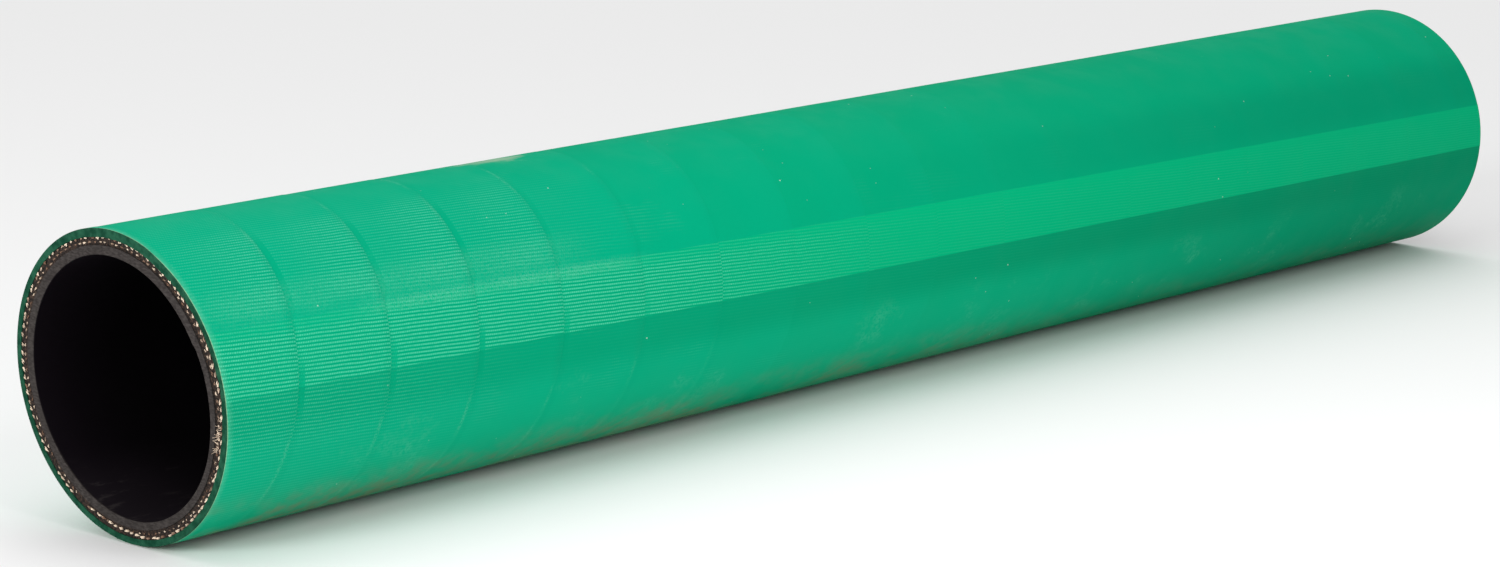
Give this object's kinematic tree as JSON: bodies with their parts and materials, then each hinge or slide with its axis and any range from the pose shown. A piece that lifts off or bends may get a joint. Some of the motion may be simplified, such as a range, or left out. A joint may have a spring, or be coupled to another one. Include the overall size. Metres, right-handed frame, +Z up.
{
  "type": "coolant hose",
  "caption": "Straight length of wrapped rubber coolant hose with a green cover, textile cord reinforcement and a smooth black lining.",
  "frame": {"origin": "under the middle of the hose, at the bottom of its round, on the surface it lies on", "axes": "+X along the hose from the near, slightly slanted cut end to the far end, +Z up"},
  "size_m": [0.5, 0.0724, 0.0725],
  "materials": {
    "tube_rubber": "matte",
    "cord_ply": "matte rubberised textile cord",
    "cover_rubber": "matte, with the print of a woven curing wrap"
  },
  "bodies": {
    "root": {"inner_tube": "tube_rubber", "inner_ply": "cord_ply", "outer_ply": "cord_ply", "outer_cover": "cover_rubber"}
  },
  "joints": []
}
